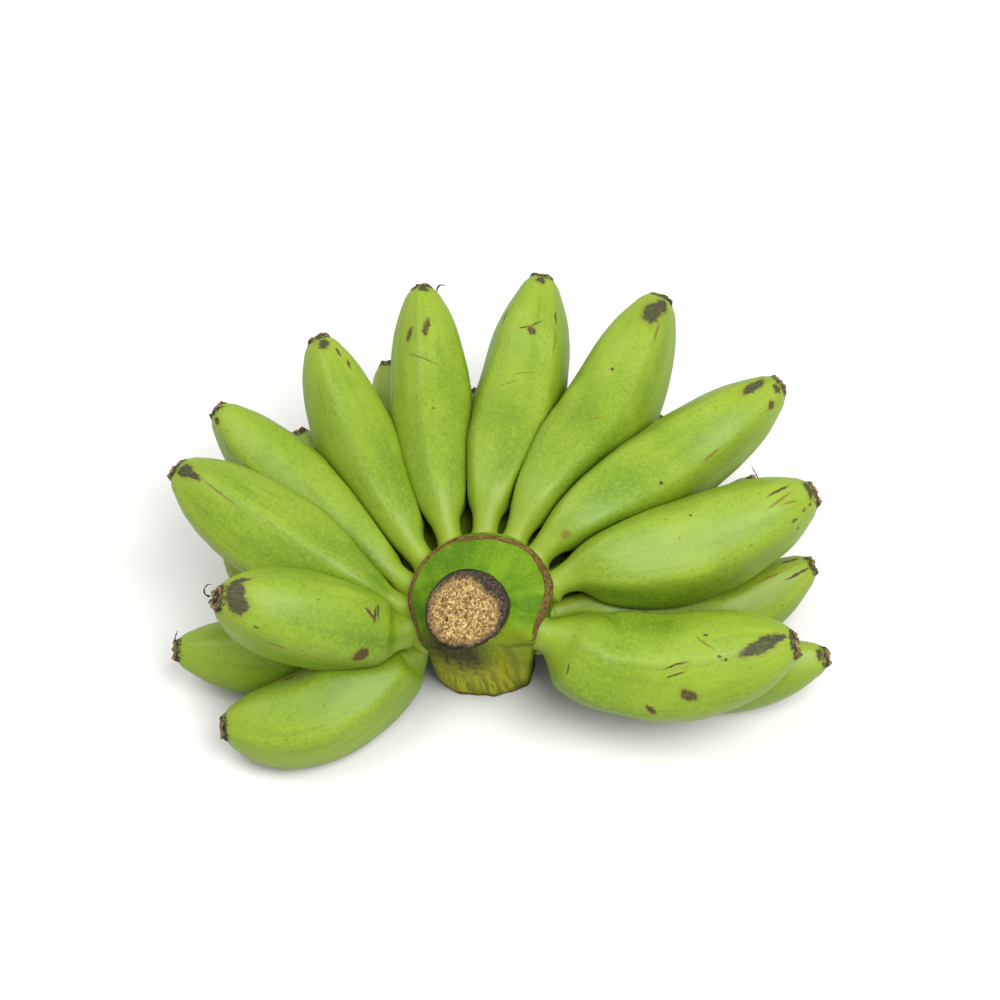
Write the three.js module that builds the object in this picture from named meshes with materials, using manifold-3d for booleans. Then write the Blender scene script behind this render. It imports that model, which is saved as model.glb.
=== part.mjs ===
// A hand of unripe baby bananas as cut from the bunch: two rows of fingers that fan out from the crown
// on a short length of the bunch's stem. Millimetres, +Z up. The hand rests on its lower fingers.

import * as THREE from "three";
import { mergeVertices } from "three/addons/utils/BufferGeometryUtils.js";
import Module from "manifold-3d";

const wasm = await Module();
wasm.setup();

const rad = THREE.MathUtils.degToRad;
const { lerp, smoothstep, clamp } = THREE.MathUtils;
const vec = (x, y, z) => new THREE.Vector3(x, y, z);

// ---------------------------------------------------------------- driving dimensions

const GAP = 0.5; // left between pieces that grew together or lie against each other

const ORIGIN = vec(7.3, 53.6, 0); // the middle of the hand's footprint on the table

const STEM = {
  foot: vec(2.5, 15.5, 0), // centre of the lower cut
  top: vec(-6, -13, 70), // centre of the upper cut
  footRadius: 19,
  topRadius: 16,
};

const COLLAR = {
  centre: vec(0, 0, 55), // centre of the ring of necks
  radius: 29.5,
  openingFrom: -62, // degrees around the stem, the side with no fingers
  openingTo: 245,
  fade: 30,
  tucks: [{ at: -8, by: 4.5, width: 18 }, { at: 187, by: 2.2, width: 20 }], // drawn in beside the opening
  flare: [18, 36], // mm along the stem, where the swelling starts and where it is nearly full
  endFlare: [2, 52], // the same at the swelling's two ends, which slope down to the stem's foot
  endSlope: 40, // degrees over which one turns into the other
  fullness: 0.88, // share of the swelling reached by then
  scar: 60, // mm along the stem, the scar at the swelling's upper edge
  neckOut: 70,
};

const ROWS = { upper: 52, lower: 38 }; // mm along the stem, where each row's necks leave it

const NECK = {
  radius: 5.4,
  length: 17, // from its root inside the crown's skin
  rooted: 4, // how far inside the crown's skin it starts, before it is trimmed to it
  flare: 1.2, // wider by this at its root
  flareEnds: 0.6, // shares of the neck's length: where the flare ends, where the body starts to
  bodyStarts: 0.8, // widen, and where the body has its own width
  bodyRules: 1.3,
};
const DRIED_END = { radius: 4.6, length: 3.2 }; // the withered flower's seat at a finger's tip
const DEPTH_RATIO = 1.06; // a finger is a little deeper in the plane it curves in

// Each finger: where its neck leaves, in degrees around the stem; the neck's lift above the ring's
// plane; the places of the belly and the tip; and the greatest width.
const UPPER_ROW = [
  { around: 192, lift: -45, belly: [-69, -29, 18.5], tip: [-103, -35, 20], girth: 38 },
  { around: 184, lift: 0, belly: [-67, -10, 58], tip: [-102, -16, 80], girth: 37 },
  { around: 165, lift: 5, belly: [-89, 34, 60], tip: [-124, 57, 71], girth: 38 },
  { around: 147, lift: 5, belly: [-80, 66, 54], tip: [-110, 92, 68], girth: 34 },
  { around: 127, lift: 5, belly: [-53, 84, 60], tip: [-69, 121, 80], girth: 34 },
  { around: 105, lift: 5, belly: [-21, 99, 64], tip: [-26, 145, 86], girth: 35 },
  { around: 83, lift: 5, belly: [15, 100, 64], tip: [25, 151, 86], girth: 38 },
  { around: 64, lift: 5, belly: [49, 90, 62], tip: [75, 141, 84], girth: 40 },
  { around: 46, lift: 5, belly: [78, 70, 60], tip: [123, 99, 76], girth: 38 },
  { around: 25, lift: 0, belly: [84, 29, 55], tip: [134, 47, 68], girth: 41 },
  { around: -8, lift: -20, belly: [70, -17, 34], tip: [124, -16, 50], girth: 42 },
];
const LOWER_ROW = [
  { around: 180, lift: -25, belly: [-86, 3, 16.5], tip: [-124, 0, 25], girth: 33 },
  { around: 162, lift: -20, belly: [-80, 36, 16], tip: [-107, 57, 28], girth: 33 },
  { around: 142, lift: -20, belly: [-58, 68, 16], tip: [-79, 102, 42], girth: 33 },
  { around: 120, lift: -20, belly: [-32, 92, 16], tip: [-41, 137, 48], girth: 33 },
  { around: 99, lift: -20, belly: [1, 96, 16], tip: [-5, 133, 33], girth: 33 },
  { around: 78, lift: -20, belly: [33, 90, 16], tip: [36, 127, 33], girth: 33 },
  { around: 56, lift: -20, belly: [61, 74, 15.5], tip: [76, 111, 41], girth: 32 },
  { around: 35, lift: -20, belly: [84, 52, 15.5], tip: [115, 77, 39], girth: 32 },
  { around: 13, lift: -5, belly: [96, 22, 15.5], tip: [136, 38, 32], girth: 32 },
  { around: -4, lift: -40, belly: [100, -6, 15.2], tip: [139, -5, 27], girth: 31 },
];

const PRESSING = {
  freeRoot: 9, // mm from a neck's root that aren't pressed, where the necks grow together
  reach: 2.6, // fingers whose centre lines come within this many radii can touch
  least: 0.35, // share of its radius that a pressed finger keeps
  halvings: 12,
};

const AROUND_SEGMENTS = 12;
const ALONG_RINGS = 14;
const DRIED_END_SEGMENTS = 8;
const DRIED_END_PROFILE = [[0, 0.95], [0.45, 1], [1, 0.7]]; // share of the length, share of the radius
const RING_CROWDING = 0.023; // rings stand closer where a finger's width changes fastest
const LINE_SAMPLES = 60;
const CROWN_SEGMENTS = 28;
const CROWN_RINGS = 20;
const LEVEL_RINGS = 6; // the rings over which the stem's level foot turns square to the stem
const TABLE = { side: 400, depth: 20 };

// ---------------------------------------------------------------- the crown and its stem

const stemLine = STEM.top.clone().sub(STEM.foot);
const STEM_LENGTH = stemLine.length();
const stemAxis = stemLine.clone().normalize();
const acrossRight = vec(1, 0, 0).projectOnPlane(stemAxis).normalize();
const acrossBack = stemAxis.clone().cross(acrossRight);

const stemPoint = (along) => STEM.foot.clone().addScaledVector(stemAxis, along);
const outward = (around) =>
  acrossRight.clone().multiplyScalar(Math.cos(around)).addScaledVector(acrossBack, Math.sin(around));

// How far a direction lies from a middle one, in radians, 0 to pi.
const turnBetween = (around, middle) =>
  Math.abs(Math.atan2(Math.sin(around - middle), Math.cos(around - middle)));

// The collar's round outline, seen from the stem's axis, drawn in a little near its two ends.
function collarReach(around) {
  const offset = COLLAR.centre.clone().sub(STEM.foot);
  const e1 = offset.dot(acrossRight);
  const e2 = offset.dot(acrossBack);
  const ahead = e1 * Math.cos(around) + e2 * Math.sin(around);
  const aside = e1 * Math.sin(around) - e2 * Math.cos(around);
  const round = ahead + Math.sqrt(COLLAR.radius ** 2 - aside ** 2);
  const drawnIn = ({ at, by, width }) => by * Math.exp(-((turnBetween(around, rad(at)) / rad(width)) ** 2));
  return COLLAR.tucks.reduce((reach, tuck) => reach - drawnIn(tuck), round);
}

const COLLAR_MIDDLE = rad((COLLAR.openingFrom + COLLAR.openingTo) / 2);
const COLLAR_HALF = rad((COLLAR.openingTo - COLLAR.openingFrom) / 2);
const COLLAR_FULL = COLLAR_HALF - rad(COLLAR.fade);

// 1 where fingers grow, fading to 0 on the bare side.
const grown = (around) => 1 - smoothstep(turnBetween(around, COLLAR_MIDDLE), COLLAR_FULL, COLLAR_HALF);

function crownRadius(around, along) {
  const stem = lerp(STEM.footRadius, STEM.topRadius, clamp(along / STEM_LENGTH, 0, 1));
  const away = turnBetween(around, COLLAR_MIDDLE);
  const end = smoothstep(away, COLLAR_FULL - rad(COLLAR.endSlope), COLLAR_FULL);
  const [from, to] = COLLAR.flare.map((mm, k) => lerp(mm, COLLAR.endFlare[k], end));
  const rise = lerp(0, COLLAR.fullness, smoothstep(along, from, to))
    + lerp(0, 1 - COLLAR.fullness, smoothstep(along, to, COLLAR.scar));
  const fall = 1 - smoothstep(along, COLLAR.scar, COLLAR.neckOut);
  return stem + (collarReach(around) - stem) * rise * fall * grown(around);
}

// A closed mesh over rings of points, each ring's end closed by a fan to a pole.
function closedLoft(rings, firstPole, lastPole) {
  const n = rings[0].length;
  const points = [...rings.flat(), firstPole, lastPole];
  const index = [];
  for (let k = 0; k + 1 < rings.length; k++)
    for (let j = 0; j < n; j++) {
      const a = k * n + j;
      const b = k * n + ((j + 1) % n);
      index.push(a, b, b + n, a, b + n, a + n);
    }
  const first = rings.length * n;
  const last = first + 1;
  const end = (rings.length - 1) * n;
  for (let j = 0; j < n; j++) {
    index.push(first, (j + 1) % n, j);
    index.push(last, end + j, end + ((j + 1) % n));
  }
  const geometry = new THREE.BufferGeometry().setFromPoints(points);
  geometry.setIndex(index);
  geometry.computeVertexNormals();
  return geometry;
}

// The stem's foot is cut level, so that it stands on the table; the top is cut square. A grown crown
// is larger all over, to cut room for itself out of the necks.
function crownGeometry(grow = 0) {
  const rings = [];
  for (let k = 0; k <= CROWN_RINGS; k++) {
    const along = (STEM_LENGTH * k) / CROWN_RINGS;
    const ring = [];
    for (let j = 0; j < CROWN_SEGMENTS; j++) {
      const around = (2 * Math.PI * j) / CROWN_SEGMENTS;
      const p = stemPoint(along).addScaledVector(outward(around), crownRadius(around, along) + grow);
      const level = Math.max(0, 1 - k / LEVEL_RINGS);
      p.addScaledVector(stemAxis, (-level * outward(around).z * STEM.footRadius) / stemAxis.z);
      ring.push(p);
    }
    rings.push(ring);
  }
  return closedLoft(rings, STEM.foot.clone(), STEM.top.clone());
}

// ---------------------------------------------------------------- the fingers

// Width along a finger's body, as a share of its greatest, from the neck (0) to the tip (1).
const BODY_PROFILE = new THREE.SplineCurve(
  [
    [0, 0.38], [0.06, 0.53], [0.14, 0.73], [0.25, 0.91], [0.36, 0.985], [0.46, 1],
    [0.58, 0.985], [0.7, 0.92], [0.8, 0.82], [0.89, 0.66], [0.95, 0.49], [1, 0.3],
  ].map(([x, y]) => new THREE.Vector2(x, y)),
);
const PROFILE_TABLE = BODY_PROFILE.getPoints(200);
function bodyWidth(b) {
  const k = PROFILE_TABLE.findIndex((p) => p.x >= b);
  if (k <= 0) return PROFILE_TABLE[Math.max(k, 0)].y;
  const [p, q] = [PROFILE_TABLE[k - 1], PROFILE_TABLE[k]];
  return lerp(p.y, q.y, (b - p.x) / (q.x - p.x || 1));
}

// A finger's centre line runs from inside the crown, out along its neck, through its belly to its tip.
function makeFinger({ name, row, around, lift, belly, tip, girth }) {
  const out = outward(rad(around));
  const along = ROWS[row];
  const root = stemPoint(along).addScaledVector(out, crownRadius(rad(around), along) - NECK.rooted);
  const leave = out.clone().multiplyScalar(Math.cos(rad(lift)))
    .addScaledVector(stemAxis, Math.sin(rad(lift)));
  const neck = root.clone().addScaledVector(leave, NECK.length);
  const [middle, end] = [vec(...belly), vec(...tip)];
  const line = new THREE.CatmullRomCurve3([root, neck, middle, end], false, "centripetal");
  line.arcLengthDivisions = 400;
  const length = line.getLength();
  const bendNormal = middle.clone().sub(root).cross(end.clone().sub(middle)).normalize();
  const radiusAt = (at) => {
    const travelled = at * length;
    const bodyStart = NECK.length * NECK.bodyStarts;
    const body = (girth / 2) * bodyWidth(clamp((travelled - bodyStart) / (length - bodyStart), 0, 1));
    const neckShare = 1 - smoothstep(travelled, 0, NECK.length * NECK.bodyRules);
    const flare = NECK.flare * (1 - smoothstep(travelled, 0, NECK.length * NECK.flareEnds));
    return lerp(body, NECK.radius, neckShare) + flare;
  };
  const samples = [];
  for (let k = 0; k <= LINE_SAMPLES; k++)
    samples.push({ p: line.getPointAt(k / LINE_SAMPLES), r: radiusAt(k / LINE_SAMPLES) });
  return { name, line, length, bendNormal, radiusAt, samples };
}

// How deep p lies in a finger: 0 on its axis, 1 on its skin.
function depthShare(finger, p) {
  let least = Infinity;
  for (const s of finger.samples) least = Math.min(least, s.p.distanceTo(p) / s.r);
  return least;
}

// The greatest radius along a ray that stays on this finger's side of its neighbours.
function pressedRadius(finger, neighbours, centre, ray, radius) {
  const clear = (r) => {
    const p = centre.clone().addScaledVector(ray, r);
    const own = r / radius;
    return neighbours.every((other) => own <= depthShare(other, p));
  };
  if (clear(radius + GAP)) return radius;
  let [low, high] = [0, radius + GAP];
  for (let k = 0; k < PRESSING.halvings; k++) {
    const middle = (low + high) / 2;
    if (clear(middle)) low = middle;
    else high = middle;
  }
  return Math.min(radius, Math.max(low - GAP / 2, radius * PRESSING.least));
}

// The least distance from one finger's centre line to another, in the other's radii.
function lineReach(finger, other) {
  return Math.min(...finger.samples.map((s) => depthShare(other, s.p)));
}

const ringPlace = (share) => share - RING_CROWDING * Math.sin(4 * Math.PI * share);

// A finger's centre, direction and two cross directions at a share of its length.
function fingerFrame(finger, at) {
  const centre = finger.line.getPointAt(at);
  const tangent = finger.line.getTangentAt(at);
  const side = finger.bendNormal.clone().projectOnPlane(tangent).normalize();
  const up = tangent.clone().cross(side);
  return { centre, tangent, side, up };
}

// A grown finger is larger all over, to cut room for itself out of its neighbours.
function fingerGeometry(finger, fingers, grow = 0) {
  const neighbours = fingers.filter((f) => f !== finger && lineReach(finger, f) < PRESSING.reach);
  const rings = [];
  for (let k = 0; k < ALONG_RINGS; k++) {
    const at = ringPlace(k / (ALONG_RINGS - 1));
    const { centre, side, up } = fingerFrame(finger, at);
    const radius = finger.radiusAt(at);
    const free = at * finger.length < PRESSING.freeRoot;
    const ring = [];
    for (let j = 0; j < AROUND_SEGMENTS; j++) {
      const turn = (2 * Math.PI * (j + 0.5)) / AROUND_SEGMENTS;
      const ray = side.clone().multiplyScalar(Math.cos(turn)).addScaledVector(up, Math.sin(turn));
      const oval = radius * Math.hypot(Math.cos(turn), DEPTH_RATIO * Math.sin(turn));
      const pressed = free ? oval : pressedRadius(finger, neighbours, centre, ray, oval);
      ring.push(centre.clone().addScaledVector(ray, pressed + grow));
    }
    rings.push(ring);
  }
  return closedLoft(rings, finger.line.getPointAt(0), finger.line.getPointAt(1));
}

// A short plug of dead, corky skin beyond the tip, wider in the middle.
function driedEndGeometry(finger) {
  const { centre: tip, tangent, side, up } = fingerFrame(finger, 1);
  const rings = [];
  for (const [along, width] of DRIED_END_PROFILE) {
    const ring = [];
    for (let j = 0; j < DRIED_END_SEGMENTS; j++) {
      const turn = (2 * Math.PI * j) / DRIED_END_SEGMENTS;
      const p = tip.clone().addScaledVector(tangent, GAP + along * DRIED_END.length);
      p.addScaledVector(side, Math.cos(turn) * width * DRIED_END.radius);
      p.addScaledVector(up, Math.sin(turn) * width * DRIED_END.radius);
      ring.push(p);
    }
    rings.push(ring);
  }
  const last = tip.clone().addScaledVector(tangent, GAP + DRIED_END.length);
  return closedLoft(rings, tip.clone().addScaledVector(tangent, GAP), last);
}

// ---------------------------------------------------------------- the hand

const peel = new THREE.MeshStandardMaterial({ color: 0x9abf45, roughness: 0.5, metalness: 0 });
const driedFlower = new THREE.MeshStandardMaterial({ color: 0x6b4f33, roughness: 0.9, metalness: 0 });
const stemSkin = new THREE.MeshStandardMaterial({ color: 0x7f9a35, roughness: 0.6, metalness: 0 });

const hand = new THREE.Group();
const add = (name, geometry, material) => {
  const mesh = new THREE.Mesh(geometry, material);
  mesh.name = name;
  hand.add(mesh);
};

function solidOf(geometry) {
  const bare = geometry.clone();
  bare.deleteAttribute("normal");
  bare.deleteAttribute("uv");
  const merged = mergeVertices(bare, 1e-4);
  return new wasm.Manifold(new wasm.Mesh({
    numProp: 3,
    vertProperties: new Float32Array(merged.attributes.position.array),
    triVerts: new Uint32Array(merged.index.array),
  }));
}

function geometryOf(solid) {
  const mesh = solid.getMesh();
  const geometry = new THREE.BufferGeometry();
  geometry.setAttribute("position", new THREE.BufferAttribute(new Float32Array(mesh.vertProperties), 3));
  geometry.setIndex([...mesh.triVerts]);
  geometry.computeVertexNormals();
  return geometry;
}

// The solid without the crumbs that a cut can leave beside it.
function largestPiece(solid) {
  const pieces = solid.decompose();
  return pieces.reduce((a, b) => (b.volume() > a.volume() ? b : a));
}

const rowOf = (row, specs) =>
  specs.map((spec, k) => makeFinger({ ...spec, row, name: `${row}_${String(k + 1).padStart(2, "0")}` }));

add("crown_and_stem", crownGeometry(), stemSkin);
const fingers = [...rowOf("upper", UPPER_ROW), ...rowOf("lower", LOWER_ROW)];
const table = new THREE.BoxGeometry(TABLE.side, TABLE.side, TABLE.depth).translate(0, 0, -TABLE.depth / 2);
const cutters = [solidOf(table), solidOf(crownGeometry(GAP))];
for (const finger of fingers) {
  let solid = solidOf(fingerGeometry(finger, fingers));
  for (const cutter of cutters) solid = solid.subtract(cutter);
  add(`finger_${finger.name}`, geometryOf(largestPiece(solid)), peel);
  cutters.push(solidOf(fingerGeometry(finger, fingers, GAP)));
}

for (const finger of fingers) add(`dried_end_${finger.name}`, driedEndGeometry(finger), driedFlower);
hand.position.copy(ORIGIN).negate();

export default hand;
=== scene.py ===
import functools
import math

import bpy
import numpy as np
from mathutils import Matrix, Vector


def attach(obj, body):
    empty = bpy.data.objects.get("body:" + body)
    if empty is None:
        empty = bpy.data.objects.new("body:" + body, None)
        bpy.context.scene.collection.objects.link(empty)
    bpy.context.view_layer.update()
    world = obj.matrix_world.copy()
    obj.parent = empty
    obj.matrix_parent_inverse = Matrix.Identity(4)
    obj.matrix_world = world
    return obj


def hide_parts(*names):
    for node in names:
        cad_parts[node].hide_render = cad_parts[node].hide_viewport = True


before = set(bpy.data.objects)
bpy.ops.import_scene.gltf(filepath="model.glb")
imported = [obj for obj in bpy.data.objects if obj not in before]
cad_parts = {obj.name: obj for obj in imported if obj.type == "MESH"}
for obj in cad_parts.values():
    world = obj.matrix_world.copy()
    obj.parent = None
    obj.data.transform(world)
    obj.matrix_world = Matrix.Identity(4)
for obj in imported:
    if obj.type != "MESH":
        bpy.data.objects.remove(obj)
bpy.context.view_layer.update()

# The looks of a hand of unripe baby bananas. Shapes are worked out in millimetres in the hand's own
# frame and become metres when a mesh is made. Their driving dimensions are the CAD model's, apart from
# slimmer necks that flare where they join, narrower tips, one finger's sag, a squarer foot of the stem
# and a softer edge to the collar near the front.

# -------------------- driving dimensions, millimetres

ORIGIN = np.array([7.3, 53.6, 0.0])  # the middle of the hand's footprint
MM = 0.001
CLEAR = 0.03  # how far the skins stay above the surface, so that they don't flicker with it

STEM_FOOT = np.array([2.5, 15.5, 0.0])
STEM_TOP = np.array([-6.0, -13.0, 70.0])
STEM_FOOT_RADIUS = 19.0
STEM_TOP_RADIUS = 16.0

COLLAR_CENTRE = np.array([0.0, 0.0, 55.0])
COLLAR_RADIUS = 29.5
OPENING_FROM = -62.0  # degrees around the stem, the side with no fingers
OPENING_TO = 245.0
OPENING_FADE = 30.0
TUCKS = [(-8, 4.5, 18), (187, 2.2, 20)]  # where the collar is drawn in, by how much, over how wide
FLARE = (18.0, 36.0)  # along the stem, where the swelling starts and where it is nearly full
END_FLARE = (2.0, 52.0)  # the same at the swelling's two ends
END_SLOPE = 40.0
FULLNESS = 0.88
SCAR_ALONG = 60.0
NECK_OUT = 70.0
SCAR_FROM = -27.0  # degrees around the stem, the ends of the cork scar
SCAR_TO = 219.0

UPPER_ALONG = 52.0  # where each row's necks leave the stem
LOWER_ALONG = 38.0
NECK_RADIUS = 4.6
NECK_LENGTH = 17.0
NECK_ROOTED = 4.0
NECK_FLARE = 3.0  # millimetres it widens by where it joins the crown
FLARE_FADE = 1.6
BURIED = 7.0  # how much further a neck's hidden root runs into the crown
DEPTH_RATIO = 1.06

# name, degrees around the stem, lift, belly, tip, girth, turn of its clearest ridge, and how plump it is
# near the neck, 0 to 1
UPPER_ROW = [
    ("upper_01", 192, -45, (-69, -29, 18.5), (-103, -35, 20), 38, 250, 0.4),
    ("upper_02", 184, 0, (-67, -10, 58), (-102, -16, 80), 37, 200, 0.55),
    ("upper_03", 165, 5, (-89, 34, 60), (-124, 57, 71), 38, 200, 0.1),
    ("upper_04", 147, 5, (-80, 66, 54), (-110, 92, 68), 34, 232, 0.0),
    ("upper_05", 127, 5, (-53, 84, 60), (-69, 121, 80), 34, 310, 0.0),
    ("upper_06", 105, 5, (-21, 99, 64), (-26, 145, 86), 35, 325, 0.05),
    ("upper_07", 83, 5, (15, 100, 64), (25, 151, 86), 38, 310, 0.0),
    ("upper_08", 64, 5, (49, 90, 62), (75, 141, 84), 40, 305, 0.0),
    ("upper_09", 46, 5, (78, 70, 60), (123, 99, 76), 38, 292, 0.1),
    ("upper_10", 25, 0, (84, 29, 55), (134, 47, 68), 41, 335, 0.1),
    ("upper_11", -8, -20, (70, -17, 34), (124, -16, 50), 42, 240, 0.65),
]
LOWER_ROW = [
    ("lower_01", 180, -25, (-86, 3, 16.5), (-124, 0, 25), 33, 260, 0.0),
    ("lower_02", 162, -20, (-80, 36, 16), (-107, 57, 28), 33, 90, 0.0),
    ("lower_03", 142, -20, (-58, 68, 16), (-79, 102, 42), 33, 60, 0.0),
    ("lower_04", 120, -20, (-32, 92, 16), (-41, 137, 48), 33, 80, 0.0),
    ("lower_05", 99, -20, (1, 96, 16), (-5, 133, 33), 33, 100, 0.0),
    ("lower_06", 78, -20, (33, 90, 16), (36, 127, 33), 33, 70, 0.0),
    ("lower_07", 56, -20, (61, 74, 15.5), (76, 111, 41), 32, 85, 0.0),
    ("lower_08", 35, -20, (84, 52, 15.5), (115, 77, 39), 32, 60, 0.0),
    ("lower_09", 13, -5, (96, 22, 15.5), (136, 38, 32), 32, 290, 0.0),
    ("lower_10", -4, -40, (100, -6, 15.2), (139, -5, 27), 31, 280, 0.0),
]

# How far a finger's body hangs forward of and below its neck, millimetres
SAG = {"upper_11": 5.0}
SAG_WAY = np.array([0.0, -0.77, -0.64])

# The marks on each finger: kind, share along it, turn, length, width, slant from its length (degrees)
MARKS = {
    "upper_01": [
        ("brown", 0.72, 285, 2, 1.8, 0), ("rust", 0.7, 280, 5, 3, 30),
        ("brown", 0.74, 340, 5, 1.2, 0),
    ],
    "upper_02": [
        ("sap", 0.972, 258, 8, 12, 0), ("sap", 0.952, 232, 9, 8, 20),
        ("sap", 0.955, 296, 9, 3.5, 10), ("brown", 0.364, 262, 7.5, 1.4, 34),
        ("brown", 0.34, 262, 7.5, 1.2, 90), ("brown", 0.32, 263, 6.5, 1.0, 80),
        ("scab", 0.38, 206, 8, 4.5, -35), ("brown", 0.86, 203, 2, 0.9, 0),
        ("rust", 0.75, 191, 7, 0.8, 0),
    ],
    "upper_03": [
        ("sap", 0.962, 197, 8, 6, 0), ("sap", 0.925, 194, 10, 3.2, -4),
        ("rust", 0.8, 194, 18, 0.7, 4),
    ],
    "upper_04": [("brown", 0.97, 230, 4, 2.5, 0), ("rust", 0.88, 215, 10, 0.7, 0)],
    "upper_05": [
        ("sap", 0.975, 262, 6, 5, 0), ("brown", 0.93, 285, 4.5, 1.2, 10),
        ("brown", 0.875, 290, 4.5, 1.1, 10),
    ],
    "upper_06": [
        ("scab", 0.832, 237, 7, 2.4, 14), ("scab", 0.85, 264, 8, 2.4, 14),
        ("sap", 0.99, 272, 4, 4, 0), ("rust", 0.73, 255, 14, 0.8, -60),
        ("brown", 0.47, 267, 1.2, 1.1, 0),
    ],
    "upper_07": [
        ("scab", 0.8, 274, 4.5, 3, -30), ("brown", 0.82, 282, 6, 0.8, 50),
        ("brown", 0.805, 266, 5, 0.7, 75), ("brown", 0.838, 226, 6.5, 1.3, 5),
        ("brown", 0.855, 308, 6, 1.0, 0), ("rust", 0.78, 310, 9, 0.8, 0),
        ("rust", 0.62, 275, 9, 0.5, 70), ("rust", 0.55, 262, 8, 0.5, 60),
        ("sap", 0.985, 275, 4, 4, 0),
    ],
    "upper_08": [
        ("sap", 0.93, 292, 12, 8, -5), ("sap", 0.965, 305, 8, 6, 0),
        ("rust", 0.88, 311, 9, 1.2, 0), ("brown", 0.7, 275, 1.5, 1.3, 0),
        ("rust", 0.45, 290, 8, 0.6, 40),
    ],
    "upper_09": [
        ("sap", 0.93, 239, 13, 4.2, -8), ("scab", 0.938, 295, 4.2, 2.6, -30),
        ("sap", 0.985, 275, 4, 4, 0), ("rust", 0.68, 292, 9, 1.2, 0),
        ("brown", 0.433, 283, 2.0, 1.6, 0), ("rust", 0.13, 278, 4, 3, 0),
    ],
    "upper_10": [
        ("brown", 0.889, 277, 11, 1.2, -14), ("rust", 0.885, 292, 13, 1.0, -14),
        ("rust", 0.91, 300, 7, 0.8, 10), ("sap", 0.904, 332, 3.4, 1.6, 10),
        ("sap", 0.945, 327, 2.6, 1.4, 10), ("brown", 0.973, 323, 1.6, 1.4, 0),
        ("sap", 0.992, 285, 3.5, 8, 0), ("brown", 0.55, 272, 1.3, 1.2, 0),
        ("brown", 0.9, 350, 1.3, 1.2, 0),
    ],
    "upper_11": [
        ("sap", 0.92, 314, 15, 6, -18), ("sap", 0.875, 321, 11, 4.5, -14),
        ("sap", 0.965, 304, 8, 3, -20), ("brown", 0.588, 320, 10, 0.9, -12),
        ("brown", 0.578, 328, 8, 0.8, -12), ("scab", 0.612, 356, 7, 5, 40),
        ("scab", 0.482, 8, 4.5, 2.4, 40), ("brown", 0.173, 2, 5, 0.8, 60),
        ("brown", 0.72, 292, 2, 1.5, 0), ("rust", 0.71, 300, 9, 0.8, 50),
        ("brown", 0.76, 322, 1.4, 1.2, 0), ("brown", 0.78, 323, 1.4, 1.2, 0),
    ],
    "lower_09": [
        ("brown", 0.955, 266, 8, 1.3, 0), ("brown", 0.955, 314, 12, 1.2, 4),
        ("rust", 0.88, 290, 9, 1.0, 5),
    ],
    "lower_10": [("sap", 0.99, 300, 3, 5, 0)],
}

# Withered flower threads: finger, thickness, then points right, back and up from its end, millimetres
THREADS = [
    ("upper_06", 1.2, [
        (2.2, 0, 0), (3.4, 0.6, 0.9), (5.6, -0.7, -1.0),
        (7.0, 1.4, 1.2), (8.2, 1.9, 1.6), (9.8, 1.7, 1.3),
    ]),
    ("upper_02", 0.8, [
        (-3.6, 0.4, 0.4), (-5.4, 1.0, 0.9), (-6.0, 2.4, 2.0), (-4.6, 4.0, 3.3), (-2.9, 4.2, 3.4),
    ]),
    ("lower_01", 0.8, [(-1.0, 1.0, 1.0), (-1.6, 3.2, 2.6), (-0.9, 5.4, 4.2), (-0.4, 6.2, 5.0)]),
    ("upper_10", 0.6, [(-21.5, 3.4, 3.0), (-22.0, 5.4, 4.6), (-23.2, 7.2, 6.0), (-24.4, 8.8, 7.6)]),
    ("upper_01", 0.5, [(-0.4, 2.0, 1.6), (-1.2, 3.2, 2.4), (-0.8, 4.2, 3.0)]),
]

# Width along a finger's body, as a share of its greatest, from the neck (0) to the tip (1).
BODY_PROFILE = [
    (0, 0.38), (0.06, 0.53), (0.14, 0.73), (0.25, 0.91), (0.36, 0.985), (0.46, 1),
    (0.58, 0.985), (0.7, 0.92), (0.8, 0.82), (0.89, 0.66), (0.95, 0.49), (0.98, 0.39), (1, 0.28),
]

SPAN_SAMPLES = 200  # points worked out on each piece of a curve before it is sampled evenly
ALONG_RINGS = 120
AROUND_SEGMENTS = 72
CONTACT_GAP = 0.12
NEIGHBOUR_REACH = 45  # fingers whose centre lines are further apart don't press on each other
LEAST_SHARE = 0.3  # of its free radius that a pressed finger keeps
FREE_NECK = 11  # how much of a neck, from its root, is never pressed
RIDGE_SHARPNESS = 16

# -------------------- curves, frames and soft shapes


def unit(v):
    v = np.asarray(v, float)
    return v / np.linalg.norm(v, axis=-1, keepdims=True)


def smoothstep(x, low, high):
    t = np.clip((x - low) / (high - low), 0, 1)
    return t * t * (3 - 2 * t)


def smooth_line(xs, ys, x):
    """A smooth curve through points, read at x: cubic pieces whose slopes come from the neighbours."""
    xs = np.asarray(xs, float)
    ys = np.asarray(ys, float)
    slopes = np.gradient(ys, xs)
    x = np.clip(x, xs[0], xs[-1])
    k = np.clip(np.searchsorted(xs, x) - 1, 0, len(xs) - 2)
    step = xs[k + 1] - xs[k]
    t = (x - xs[k]) / step
    rise = (1 - t) ** 2 * (1 + 2 * t) * ys[k] + t ** 2 * (3 - 2 * t) * ys[k + 1]
    return rise + step * (t * (1 - t) ** 2 * slopes[k] - t ** 2 * (1 - t) * slopes[k + 1])


def rays_round(turn, side, up):
    """Directions round a line, for each of its places and each turn from side towards up."""
    return np.cos(turn)[None, :, None] * side[:, None, :] + np.sin(turn)[None, :, None] * up[:, None, :]


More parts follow.
